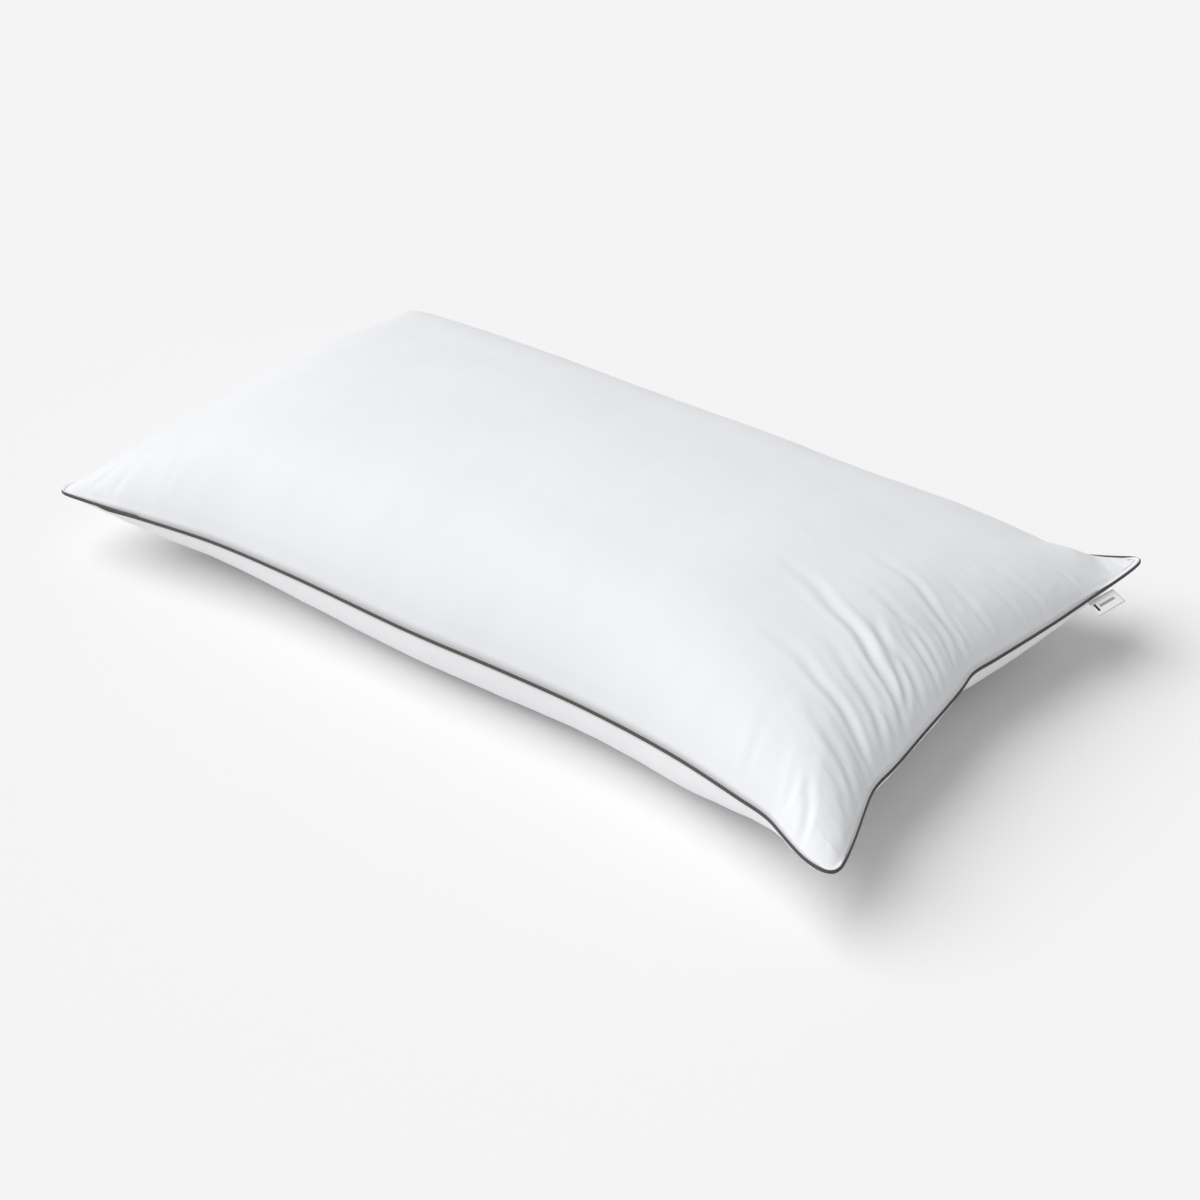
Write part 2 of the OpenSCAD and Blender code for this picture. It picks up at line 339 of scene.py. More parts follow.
# %% [markdown]
# ## The cut cloth
# Each panel is cut as a rectangle with rounded corners, a king size of
# 914 x 508 mm inside the seam. The mesh is one grid for each panel, finer
# beside the seam and across the creases, where the cloth bends sharply. Both
# the flat cut and the filled shape come from the same rule, which fills a
# closed line in from its edges.

# %% Grid of cloth
CUT_LENGTH, CUT_WIDTH = 914 * MM, 508 * MM
LONG_CELLS = (3.4 * MM, 11.6 * MM, 0.2)     # fine, coarse, ramp
SHORT_CELLS = (3.2 * MM, 4.9 * MM, 0.05)


def grid_places(length, fine, coarse, ramp):
    """Places from 0 to 1 across a panel, closer together near both ends."""
    cells, run = [], 0.0
    while run < length / 2:
        cell = fine + (coarse - fine) * min(1, run / ramp)
        cells.append(cell)
        run += cell
    half = np.r_[0, np.cumsum(cells)] / run / 2
    return np.r_[half, 1 - half[-2::-1]]


PLACES_LONG = grid_places(CUT_LENGTH, *LONG_CELLS)
PLACES_SHORT = grid_places(CUT_WIDTH, *SHORT_CELLS)


def rim_turns(corners, s, t):
    """Turns on the four edges of a panel for places s and t on it."""
    c0, c1, c2, c3 = corners
    c0 = c0 - 1 if c0 > 0.5 else c0
    return (c0 + (c1 - c0) * s, c3 - (c3 - c2) * s,
            c0 + 1 - (c0 + 1 - c3) * t, c1 + (c2 - c1) * t)


def filled_in(line, s, t):
    """A surface filled in between the four edges of a closed line."""
    front, rear, left, right = (
        looked_up(line, turn) for turn in rim_turns(corner_turns(line), s, t))
    corner = [looked_up(line, c) for c in corner_turns(line)]
    s, t = s[..., None], t[..., None]
    return ((1 - t) * front + t * rear + (1 - s) * left + s * right
            - (1 - s) * (1 - t) * corner[0] - s * (1 - t) * corner[1]
            - s * t * corner[2] - (1 - s) * t * corner[3])


def flat_edge(name, at):
    """One edge of the flat cut."""
    half_x, half_y = CUT_LENGTH / 2 + TIP_SPARE, CUT_WIDTH / 2 + TIP_SPARE
    if name in ("front", "back"):
        side = -1 if name == "front" else 1
        return np.stack([half_x * at, 0 * at + side * half_y, 0 * at], 1)
    side = 1 if name == "right" else -1
    return np.stack([0 * at + side * half_x, half_y * at, 0 * at], 1)


cut_line, _ = rounded_loop(
    CUT_LENGTH / 2 + TIP_SPARE, CUT_WIDTH / 2 + TIP_SPARE, flat_edge)
print(f"panel grid {len(PLACES_LONG) - 1} x {len(PLACES_SHORT) - 1} cells")

# %% [markdown]
# ## Filled shape to start from
# A filled pillow rises steeply from its seam and is nearly flat over the
# middle. A crown made of two powers has that shape. Below, the same crown
# hangs down until the bed stops it. A few soft swellings, some of them
# hollows, then set each panel right where this pillow is fuller or flatter.

# %% Crown over the grid
CROWN_POWER = 2.39      # flatness over the middle
CROWN_ROUNDING = 0.47   # steepness of the sides
CROWN_RISE = 99 * MM
BELLY_DROP = 95 * MM
LEAN = 0.10             # how far the ridge of the crown sits towards the front
# place on the panel from 0 to 1 both ways, how much fuller, how wide (mm)
TOP_SWELLS = [
    (0.11, 0.55, 6, 90), (0.02, 0.05, -5, 45), (0.72, 0.93, -5, 70),
    (0.967, 0.95, -30, 48)]
BELLY_SWELLS = [(0.80, 0.06, 9, 70), (0.98, 0.03, 6, 40), (0.2, 0.06, -2, 120)]


def crown(s, t, lean):
    """Height of the crown over places on a panel, from 0 to 1."""
    u, v = 2 * s - 1, 2 * t - 1
    v = v + lean * (1 - v * v)
    u, v = abs(u) ** CROWN_POWER, abs(v) ** CROWN_POWER
    return (np.maximum(0, (1 - u) * (1 - v))) ** CROWN_ROUNDING


def swelled(s, t, swells):
    """Extra height over places on a panel, from a few soft swellings."""
    extra = np.zeros(len(s))
    for s_mid, t_mid, rise, width in swells:
        away = np.hypot((s - s_mid) * CUT_LENGTH, (t - t_mid) * CUT_WIDTH)
        extra += rise * MM * np.exp(-(away / (width * MM)) ** 2)
    return extra


cover = bmesh.new()
bmesh.ops.create_grid(
    cover, x_segments=len(PLACES_LONG) - 1, y_segments=len(PLACES_SHORT) - 1, size=0.5)
s_key = cover.verts.layers.float.new("place_long")
t_key = cover.verts.layers.float.new("place_short")
under_key = cover.verts.layers.int.new("under")
for vert in cover.verts:
    vert[s_key] = PLACES_LONG[round((vert.co.x + 0.5) * (len(PLACES_LONG) - 1))]
    vert[t_key] = PLACES_SHORT[round((vert.co.y + 0.5) * (len(PLACES_SHORT) - 1))]
twin = bmesh.ops.duplicate(
    cover, geom=cover.verts[:] + cover.edges[:] + cover.faces[:])
twin_faces = [g for g in twin["geom"] if isinstance(g, bmesh.types.BMFace)]
for piece in twin["geom"]:
    if isinstance(piece, bmesh.types.BMVert):
        piece[under_key] = 1
for face in twin_faces:
    face.material_index = 1
bmesh.ops.reverse_faces(cover, faces=twin_faces)

s_all = np.array([v[s_key] for v in cover.verts])
t_all = np.array([v[t_key] for v in cover.verts])
under = np.array([v[under_key] for v in cover.verts]) == 1
start = filled_in(seam, s_all, t_all)
lift = crown(s_all, t_all, np.where(under, 0.0, LEAN))
ease = np.minimum(1, 3 * lift)      # no swelling right at the seam
rise = CROWN_RISE * lift + swelled(s_all, t_all, TOP_SWELLS) * ease
drop = BELLY_DROP * lift + swelled(s_all, t_all, BELLY_SWELLS) * ease
start[:, 2] = np.where(
    under, np.maximum(0, start[:, 2] - drop), start[:, 2] + rise)
for vert, place in zip(cover.verts, start):
    vert.co = place
bmesh.ops.remove_doubles(cover, verts=cover.verts[:], dist=1e-6)
print(f"cover of {len(cover.verts)} points, top at {start[:, 2].max():.4f}")

# %% [markdown]
# ## Blowing the cover up
# The cloth is springs as long as in the flat cut, held at the seam and pushed
# out by pressure, so the spare cloth along the pulled-in edges buckles into
# puckers as it does on a bed. Gravity is off: the filling carries the cloth.
# A weak hold over the middle keeps the loft of this pillow, and the patch
# that lies on the bed is held flat. The move is capped before it is kept.

# %% Cloth simulation
PRESSURE = 60.0
CLOTH_FRAMES = 30
UNEVENNESS = 0.3 * MM   # small random start, so that puckers can begin
MOVE_CAP = 24 * MM
HOLD_START, HOLD_RAMP = 30 * MM, 120 * MM   # in from the seam
MIDDLE_HOLD = 0.3
RIM = 1e-5              # a place closer to 0 or 1 than this is on the rim
CLOTH_RULES = {
    "quality": 6, "mass": 0.05, "bending_model": "LINEAR",
    "tension_stiffness": 200, "compression_stiffness": 100,
    "shear_stiffness": 6, "bending_stiffness": 0.002,
    "tension_damping": 0.1, "compression_damping": 0.1,
    "shear_damping": 0.1, "bending_damping": 0.1,
    "use_pressure": True, "uniform_pressure_force": PRESSURE,
    "vertex_group_mass": "held"}


def blown_up(shape):
    """Positions of a closed cover after a short cloth simulation."""
    mesh = bpy.data.meshes.new("cover_in_the_making")
    shape.to_mesh(mesh)
    study = bpy.data.objects.new("cover_in_the_making", mesh)
    bpy.context.scene.collection.objects.link(study)
    s = np.array([v[s_key] for v in shape.verts])
    t = np.array([v[t_key] for v in shape.verts])
    below = np.array([v[under_key] for v in shape.verts]) == 1
    first = np.array([v.co for v in shape.verts])
    study.shape_key_add(name="filled")
    flat_cut = study.shape_key_add(name="flat_cut")
    flat = filled_in(cut_line, s, t)
    flat_cut.data.foreach_set("co", flat.ravel())
    rim = (s < RIM) | (s > 1 - RIM) | (t < RIM) | (t > 1 - RIM)
    from_rim = np.minimum(np.minimum(s, 1 - s) * CUT_LENGTH,
                          np.minimum(t, 1 - t) * CUT_WIDTH)
    soft = np.clip((from_rim - HOLD_START) / HOLD_RAMP, 0, 1)
    on_bed = below & (first[:, 2] < 0.1 * MM)
    weight = np.where(rim | on_bed, 1.0, MIDDLE_HOLD * soft)
    group = study.vertex_groups.new(name="held")
    for index, value in enumerate(weight):
        if value > 0.001:
            group.add([index], float(value), "REPLACE")
    cloth = study.modifiers.new("cloth", "CLOTH")
    rules = cloth.settings
    for rule, value in CLOTH_RULES.items():
        setattr(rules, rule, value)
    rules.rest_shape_key = flat_cut
    rules.effector_weights.gravity = 0
    cloth.collision_settings.use_collision = False
    cloth.point_cache.frame_end = CLOTH_FRAMES
    for number in range(1, CLOTH_FRAMES + 1):
        bpy.context.scene.frame_set(number)
    settled = study.evaluated_get(bpy.context.evaluated_depsgraph_get())
    result = np.empty(len(first) * 3)
    settled.data.vertices.foreach_get("co", result)
    bpy.data.objects.remove(study)
    bpy.context.scene.frame_set(1)
    return result.reshape(-1, 3)


cover.normal_update()
uneven = np.random.default_rng(5).normal(0, UNEVENNESS, len(cover.verts))
for vert, amount in zip(cover.verts, uneven):
    if min(vert[s_key], 1 - vert[s_key], vert[t_key], 1 - vert[t_key]) > RIM:
        vert.co += vert.normal * float(amount)
first_shape = np.array([v.co for v in cover.verts])
settled_shape = blown_up(cover)
move = settled_shape - first_shape
size_of_move = np.linalg.norm(move, axis=1, keepdims=True)
move *= MOVE_CAP / np.maximum(MOVE_CAP, size_of_move)
filled_shape = first_shape + move
filled_shape[:, 2] = np.maximum(0, filled_shape[:, 2])
for vert, place in zip(cover.verts, filled_shape):
    vert.co = place
print(f"cloth moved {1000 * size_of_move.mean():.1f} mm on average, "
      f"{1000 * size_of_move.max():.1f} mm at most, top {filled_shape[:, 2].max():.4f}")

# %% [markdown]
# ## From the study to two panels
# The blown-up cover is split into its two panels. One round of subdivision
# smooths the grid.

# %% Splitting a panel off the cover
def to_object(shape, name):
    """A finished bmesh as an object in the scene."""
    mesh = bpy.data.meshes.new(name)
    shape.to_mesh(mesh)
    shape.free()
    piece = bpy.data.objects.new(name, mesh)
    bpy.context.scene.collection.objects.link(piece)
    for polygon in mesh.polygons:
        polygon.use_smooth = True
    return piece


def smoothed_panel(which):
    """One panel of the cover, subdivided once, as a bmesh."""
    panel = cover.copy()
    others = [f for f in panel.faces if f.material_index != which]
    bmesh.ops.delete(panel, geom=others, context="FACES")
    piece = to_object(panel, "panel_study")
    piece.modifiers.new("round", "SUBSURF").levels = 1
    finer = piece.evaluated_get(bpy.context.evaluated_depsgraph_get())
    result = bmesh.new()
    result.from_mesh(finer.data)
    bpy.data.objects.remove(piece)
    for face in result.faces:
        face.material_index = 0
    return result


def float_layer(shape, name):
    """A number kept on each point, as an array."""
    layer = shape.verts.layers.float[name]
    return np.array([v[layer] for v in shape.verts])


top_shape, bottom_shape = smoothed_panel(0), smoothed_panel(1)
print(f"panels of {len(top_shape.faces)} and {len(bottom_shape.faces)} faces")

# %% [markdown]
# ## Creases
# Folds run from the tucks in the near right edge up over the top panel, and
# short ones fan from the two front tips. Each crease is a shallow valley with
# a low ridge on either side, deepest a little way in from the seam. Its place
# is where it starts on the seam line, and its heading is seen from above. A
# bend lets it curve as it climbs, and it wanders a little from side to side.

# %% Sculpting creases
# place along Y or X (mm), heading (deg), length, depth, width, bend (mm)
RIGHT_CREASES = [
    (-98, 152, 190, 4.6, 4.4, 26), (-90, 141, 120, 2.6, 3.4, 10),
    (-66, 160, 115, 2.4, 4.2, 14), (-44, 154, 70, 2.6, 3.0, 7),
    (-27, 168, 125, 1.6, 3.6, 12), (-9, 160, 52, 1.9, 2.6, 3),
    (7, 163, 120, 2.9, 3.8, 14), (21, 176, 48, 1.7, 2.8, 4),
    (47, 174, 72, 1.4, 3.4, 6), (-112, 163, 60, 1.4, 2.8, 4),
    (-127, 151, 120, 2.5, 4.2, 15), (-149, 158, 150, 3.0, 4.0, 18),
    (-163, 146, 64, 2.0, 2.8, 4), (-184, 151, 100, 1.9, 3.8, 9),
    (-207, 140, 48, 1.3, 3.0, 3), (84, 182, 44, 1.1, 3.0, 3),
    (112, 190, 80, 1.3, 3.8, 6), (166, 196, 58, 1.2, 3.2, 4),
    (203, 207, 46, 1.2, 3.0, 3)]
FRONT_CREASES = [
    (408, 116, 90, 1.9, 3.6, 8), (384, 106, 66, 1.3, 3.2, 4),
    (338, 98, 50, 0.8, 3.6, 3), (-404, 60, 58, 0.9, 3.4, 5),
    (-376, 70, 84, 0.8, 4.0, 6), (-318, 84, 60, 0.6, 4.0, 4)]
RIDGE_HEIGHT, RIDGE_PLACE, RIDGE_WIDTH = 0.45, 1.9, 0.9     # shares of the valley
WANDER, WANDER_PITCH = 1.3 * MM, 9 * MM
CREASE_RUN_IN = 12 * MM


def valley(across, width):
    """The section of a crease: a valley with a low ridge on each side."""
    q = across / width
    ridge = np.exp(-((abs(q) - RIDGE_PLACE) / RIDGE_WIDTH) ** 2)
    return np.exp(-q * q) - RIDGE_HEIGHT * ridge


def creased(points, start, heading, length, width, bend):
    """How deep one crease is at each point, from 0 to 1."""
    along_dir = np.array([math.cos(heading), math.sin(heading)])
    offset = points[:, :2] - start
    along = offset @ along_dir
    across = offset @ np.array([-along_dir[1], along_dir[0]])
    share = np.clip(along / length, 0, 1)
    across = across - bend * share ** 2
    across = across + WANDER * np.sin(along / WANDER_PITCH + heading * 40)
    fade = np.clip(along / CREASE_RUN_IN, 0, 1) * (1 - share) ** 1.3
    return valley(across, width * (0.7 + 0.9 * share)) * fade * (along > 0)


def seam_start(edge, place):
    """Where a crease starts on the near right or the front edge."""
    at = np.array([place * MM / (TIP_Y if edge == "right" else TIP_X)])
    return edge_line(edge, TIP_X, TIP_Y, at)[0, :2]


def sculpt(shape):
    """Press the creases into a panel along its own normals."""
    points = np.array([v.co for v in shape.verts])
    depth = np.zeros(len(points))
    for edge, creases in (("right", RIGHT_CREASES), ("front", FRONT_CREASES)):
        for place, heading, length, deep, width, bend in creases:
            depth += deep * MM * creased(
                points, seam_start(edge, place), math.radians(heading),
                length * MM, width * MM, bend * MM)
    shape.normal_update()
    for vert, value in zip(shape.verts, depth):
        vert.co -= vert.normal * float(value)


sculpt(top_shape)
top_raw, bottom_raw = top_shape.copy(), bottom_shape.copy()
print(f"{len(RIGHT_CREASES) + len(FRONT_CREASES)} creases on the top panel")

# %% [markdown]
# ## Seam allowance
# The cloth wraps over the piping from the inside, except just past the far
# right tip, where the piping stands free. The rim edges are extruded ring by
# ring: round the piping to the seam, and then inward as the allowance, which
# ends on a raw edge inside the pillow. The sheet gets its thickness inward.

# %% Folding the rim in
ALLOWANCE = 8.5 * MM
FOLD_INSET = 2.4 * MM   # from the piping's centre to the stitched fold
CLOTH_THICK = 0.4 * MM
TAPE_THICK = 0.4 * MM
UPPER_FOLD = TAPE_THICK + 0.05 * MM
LOWER_FOLD = -TAPE_THICK - 0.45 * MM
HUG_ANGLES = (100, 64, 36)      # degrees round the piping, 0 at the seam
HUG_CLEAR = 0.25 * MM
FREE_LENGTH = 46 * MM   # how far past the far right tip the piping stands free
FREE_SHARE = 0.8


def nearest_turns(points):
    """The turn of the seam nearest to each point near it."""
    found = []
    for chunk in np.array_split(points[:, :2], 12):
        gap = ((chunk[:, None] - seam[None, :, :2]) ** 2).sum(2)
        found.append(gap.argmin(1))
    return np.concatenate(found) / SEAM_STEPS


def hug_share(turn):
    """How far the cloth wraps the piping: less where it stands free."""
    past = (turn - TIPS[2]) * SEAM_LENGTH / (FREE_LENGTH / 2) - 1
    return 1 - FREE_SHARE * math.exp(-past ** 4)


def fold_in(shape, lift):
    """Turn the rim of a panel back inward as its seam allowance."""
    rim_edges = [e for e in shape.edges if e.is_boundary]
    rim = list({v for e in rim_edges for v in e.verts})
    turns = dict(zip(rim, nearest_turns(np.array([v.co for v in rim]))))
    side = math.copysign(1, lift)

    def beside_piping(vert, degrees):
        angle = math.radians(degrees * hug_share(turns[vert]))
        radius = PIPE_R + HUG_CLEAR
        return beside_seam(turns[vert], radius * math.cos(angle),
                           side * radius * math.sin(angle))

    for vert in rim:
        vert.co = beside_piping(vert, HUG_ANGLES[0])
    rings = [(degrees, None) for degrees in HUG_ANGLES[1:]]
    rings += [(None, FOLD_INSET + ALLOWANCE * share) for share in (0, 0.5, 1)]
    for degrees, inset in rings:
        grown = bmesh.ops.extrude_edge_only(shape, edges=rim_edges)["geom"]
        rim = [g for g in grown if isinstance(g, bmesh.types.BMVert)]
        rim_edges = [g for g in grown if isinstance(g, bmesh.types.BMEdge)
                     and g.is_boundary]
        turns = dict(zip(rim, nearest_turns(np.array([v.co for v in rim]))))
        for vert in rim:
            vert.co = (beside_piping(vert, degrees) if degrees else
                       beside_seam(turns[vert], inset, lift))


def flat_uv(shape):
    """Lay the flat cut out as the UV map, in metres, for the weave."""
    uv = shape.loops.layers.uv.new("flat_cut")
    flat = filled_in(cut_line, float_layer(shape, "place_long"),
                     float_layer(shape, "place_short"))[:, :2]
    shape.verts.index_update()
    for face in shape.faces:
        for loop in face.loops:
            loop[uv].uv = flat[loop.vert.index]


fold_in(top_shape, UPPER_FOLD)
fold_in(bottom_shape, LOWER_FOLD)
for shape in (top_shape, bottom_shape):
    flat_uv(shape)
top_panel = to_object(top_shape, "top_panel_cloth")
bottom_panel = to_object(bottom_shape, "bottom_panel_cloth")
for piece in (top_panel, bottom_panel):
    wall = piece.modifiers.new("cloth_thickness", "SOLIDIFY")
    wall.thickness = CLOTH_THICK
    wall.offset = -1
print("panels folded in beside the piping")

# %% [markdown]
# ## Filling
# The filling is one loose mass of fibre that fills the cover. It is the
# cover's own shape, a little smaller, without the strip beside the seam, and
# its two sides are bridged where that strip was.

# %% Filling
FILL_GAP = 1.4 * MM
FILL_CLEAR = 15 * MM

fill_shape = bmesh.new()
for shape in (top_raw, bottom_raw):
    study_mesh = bpy.data.meshes.new("fill_study")
    shape.to_mesh(study_mesh)
    shape.free()
    fill_shape.from_mesh(study_mesh)
    bpy.data.meshes.remove(study_mesh)
fill_shape.normal_update()
s_fill = fill_shape.verts.layers.float["place_long"]
t_fill = fill_shape.verts.layers.float["place_short"]
for vert in fill_shape.verts:
    vert.co -= vert.normal * FILL_GAP
close = [v for v in fill_shape.verts
         if min(v[s_fill], 1 - v[s_fill]) * CUT_LENGTH < FILL_CLEAR
         or min(v[t_fill], 1 - v[t_fill]) * CUT_WIDTH < FILL_CLEAR]
bmesh.ops.delete(fill_shape, geom=close, context="VERTS")
bmesh.ops.bridge_loops(
    fill_shape, edges=[e for e in fill_shape.edges if e.is_boundary])
bmesh.ops.recalc_face_normals(fill_shape, faces=fill_shape.faces)
filling = to_object(fill_shape, "fibre_filling")
print(f"filling of {len(filling.data.polygons)} faces")

# %% [markdown]
# ## Sweeping along the seam
# Piping, cord and threads all run beside the seam. Each is a grid laid out
# with one side along the seam and the other round its section, then closed
# where its sides meet. The grid's own UV map runs along the piece, so a twill
# or a twist follows it round the tips.

# %% A sweep helper
GIRTH = 12 * MM         # what one way round a section counts as in its UV map


def swept(name, section, turns, capped=False, shift=None):
    """A section of (inset, lift) points carried along turns of the seam.
    shift gives extra inset, extra lift and a scale at each turn."""
    section = np.asarray(section, float)
    rings, sides = len(turns) - 1, len(section)
    shape = bmesh.new()
    uv = shape.loops.layers.uv.new("along")
    bmesh.ops.create_grid(
        shape, x_segments=rings, y_segments=sides, size=0.5, calc_uvs=True)
    grid = np.array([v.co for v in shape.verts])
    ring = np.rint((grid[:, 0] + 0.5) * rings).astype(int)
    side = np.rint((grid[:, 1] + 0.5) * sides).astype(int) % sides
    inset, lift = section[side, 0], section[side, 1]
    if shift is not None:
        more_inset, more_lift, scale = shift(turns, section)
        inset = inset * scale[ring, side] + more_inset[ring, side]
        lift = lift * scale[ring, side] + more_lift[ring, side]
    placed = beside_seam(turns[ring], inset, lift)
    for vert, place in zip(shape.verts, placed):
        vert.co = place
    length = SEAM_LENGTH * (turns[-1] - turns[0])
    for face in shape.faces:
        for loop in face.loops:
            loop[uv].uv = (loop[uv].uv[0] * length, loop[uv].uv[1] * GIRTH)
    bmesh.ops.remove_doubles(shape, verts=shape.verts[:], dist=2e-6)
    if capped:
        bmesh.ops.holes_fill(
            shape, edges=[e for e in shape.edges if e.is_boundary], sides=0)
    bmesh.ops.recalc_face_normals(shape, faces=shape.faces)
    return to_object(shape, name)


def circle(radius, count, inset=0.0, lift=0.0):
    """A round section."""
    angles = np.arange(count) / count * 2 * math.pi
    return np.stack([inset + radius * np.cos(angles),
                     lift + radius * np.sin(angles)], 1)


print("sweep helper ready")

# %% [markdown]
# ## Piping
# Piping is a strip of bias-cut twill wrapped round a cotton cord, with its two
# tails sewn into the seam. The strip's ends lap near the front left tip: one
# end tapers away just below the other, and they cross at a small angle.

# %% Piping cover and its cord
PIPING_RINGS = 1000
LAP_FROM, LAP_TO = 46 * MM, 108 * MM    # along the front edge from the tip
LAP_START = TIPS[0] + LAP_FROM / SEAM_LENGTH
LAP_END = TIPS[0] + LAP_TO / SEAM_LENGTH
INNER_R = PIPE_R - TAPE_THICK
SLIT = 0.05 * MM        # half the gap between the strip's two tails
RAW_INSET = FOLD_INSET + ALLOWANCE
TAPER_START, TAPER_END, TAPER_LEAST = 20 * MM, 14 * MM, 0.25


def arc(radius, first, last, count):
    """Section points on an arc about the piping's centre, in degrees."""
    angles = np.radians(np.linspace(first, last, count))
    return np.stack([radius * np.cos(angles), radius * np.sin(angles)], 1)


mouth = math.degrees(math.asin(TAPE_THICK / PIPE_R))
slit = math.degrees(math.asin(SLIT / INNER_R))
strip_section = np.concatenate([
    [(RAW_INSET, TAPE_THICK), (RAW_INSET / 2, TAPE_THICK)],
    arc(PIPE_R, mouth, 360 - mouth, 17),
    [(RAW_INSET / 2, -TAPE_THICK), (RAW_INSET, -TAPE_THICK), (RAW_INSET, -SLIT)],
    arc(INNER_R, 360 - slit, slit, 11), [(RAW_INSET, SLIT)]])


def lapped(turns, section):
    """The tapered ends of the piping where they lap, near the front left tip."""
    first, last = turns - turns[0], turns[-1] - turns
    lap = LAP_END - LAP_START
    start_in = np.clip(1 - first / lap, 0, 1)[:, None] ** 1.2
    end_in = np.clip(1 - last / (lap * 0.75), 0, 1)[:, None]
    tube = (section[:, 0] < PIPE_R * 1.05)[None, :]
    tip = np.minimum(
        np.clip(TAPER_LEAST + first * SEAM_LENGTH / TAPER_START, 0, 1),
        np.clip(TAPER_LEAST + last * SEAM_LENGTH / TAPER_END, 0, 1))[:, None]
    inset = tube * (0.3 * start_in - 0.5 * end_in + 1.4 * (1 - tip)) * MM
    lift = tube * (-3.1 * start_in + 0.9 * end_in) * MM
    return inset, lift, np.where(tube, tip, 1.0)


piping_turns = np.linspace(LAP_START, LAP_END + 1, PIPING_RINGS)
piping = swept(
    "piping_bias_strip", strip_section, piping_turns, capped=True, shift=lapped)
cord = swept(
    "piping_filler_cord", circle(INNER_R - 0.1 * MM, 12),
    np.linspace(LAP_END, LAP_START + 1, PIPING_RINGS), capped=True)

# %% [markdown]
# ## Threads
# A lockstitch line runs through the seam just inside the piping: a needle
# thread on the top allowance and a bobbin thread on the lower one, dipping
# where they lock. The opening left for filling, in the left edge, is sewn
# shut with a thread pair of its own.

# %% Stitch lines
THREAD_R = 0.24 * MM
STITCH = 3.0 * MM
STITCH_POINTS = 3       # points of the thread in one stitch
STITCH_RISE = 0.12 * MM
STITCH_INSET = FOLD_INSET + 1.9 * MM
UPPER_LAY = UPPER_FOLD + CLOTH_THICK + 0.05 * MM + THREAD_R
LOWER_LAY = LOWER_FOLD - CLOTH_THICK - 0.05 * MM - THREAD_R
OPENING = [TIPS[3] + (TIPS[0] + 1 - TIPS[3]) * share for share in (0.28, 0.72)]


def stitch_line(name, first, last, lay):
    """A thread along the seam that rises a little in each stitch."""
    count = round((last - first) * SEAM_LENGTH / STITCH) * STITCH_POINTS
    turns = np.linspace(first, last, count + 1)

    def rise(turns, section):
        phase = np.arange(len(turns)) % STITCH_POINTS
        hump = np.where(phase == 0, 0.0, STITCH_RISE) * np.sign(lay)
        ones = np.ones((len(turns), len(section)))
        return 0 * ones, hump[:, None] * ones, ones

    return swept(name, circle(THREAD_R, 5, STITCH_INSET, lay), turns,
                 capped=True, shift=rise)


gap = 1.5 * MM / SEAM_LENGTH
round_seam = (OPENING[1], OPENING[0] + 1)
shut = (OPENING[0] + gap, OPENING[1] - gap)
threads = [
    stitch_line("seam_needle_stitches", *round_seam, UPPER_LAY),
    stitch_line("seam_bobbin_stitches", *round_seam, LOWER_LAY),
    stitch_line("closing_needle_stitches", *shut, UPPER_LAY),
    stitch_line("closing_bobbin_stitches", *shut, LOWER_LAY)]
print(f"opening of {(OPENING[1] - OPENING[0]) * SEAM_LENGTH:.3f} m sewn shut")

# %% [markdown]
# The overedge thread is one long spiral whose section is a rounded box, so it
# goes over the stack of four layers, round their raw edges and back below.

# %% Overedge stitches round the raw edges
OVEREDGE_PITCH = 3.6 * MM
OVEREDGE_POINTS = 8
OVEREDGE_R = 0.2 * MM
BITE = 2.2 * MM         # half of how far the spiral reaches in and out
BITE_INSET = RAW_INSET - 1.6 * MM
loops = round(SEAM_LENGTH / OVEREDGE_PITCH)
wrap_turns = np.linspace(0, 1, loops * OVEREDGE_POINTS + 1)


def wrapped(turns, section):
    """Carry the thread round the edge of the seam stack."""
    angle = 2 * math.pi * np.arange(len(turns)) / OVEREDGE_POINTS
    rise = (UPPER_FOLD - LOWER_FOLD) / 2 + CLOTH_THICK + 0.3 * MM
    middle = (UPPER_FOLD + LOWER_FOLD) / 2
    ones = np.ones((len(turns), len(section)))
    inset = BITE_INSET + BITE * np.cos(angle)
    side = np.sign(np.sin(angle + 0.01))
    lift = middle + rise * side * np.sqrt(abs(np.sin(angle)))
    return inset[:, None] * ones, lift[:, None] * ones, ones


threads.append(
    swept("overedge_stitches", circle(OVEREDGE_R, 4), wrap_turns, shift=wrapped))
print([t.name for t in threads])

# %% [markdown]
# ## Side label
# The label is a folded satin ribbon caught in the right edge. Its flap stands
# out from under the piping and can be bent, so it turns about the CAD hinge.
# It starts a little way out from the hinge line, so that it swings freely.

# %% Folded flap
joint = frame["record"]["behaviour"]["joints"][0]
HINGE = np.array(joint["pos_m"])
HINGE_AXIS = np.array(joint["axis"])
LABEL_LENGTH, LABEL_REACH, LABEL_DROOP = 33 * MM, 16 * MM, math.radians(17)
PLY = 0.13 * MM
PLY_GAP = 0.12 * MM     # from the middle of the flap to the middle of a ply
ROOT_GAP = 0.4 * MM
WAVE, CURL = 0.7 * MM, 0.9 * MM     # how far the flap's end waves, and hangs

out_dir = np.array([HINGE_AXIS[1], -HINGE_AXIS[0], 0.0])
flap_dir = out_dir * math.cos(LABEL_DROOP) - np.array([0, 0, math.sin(LABEL_DROOP)])
flap_up = out_dir * math.sin(LABEL_DROOP) + np.array([0, 0, math.cos(LABEL_DROOP)])


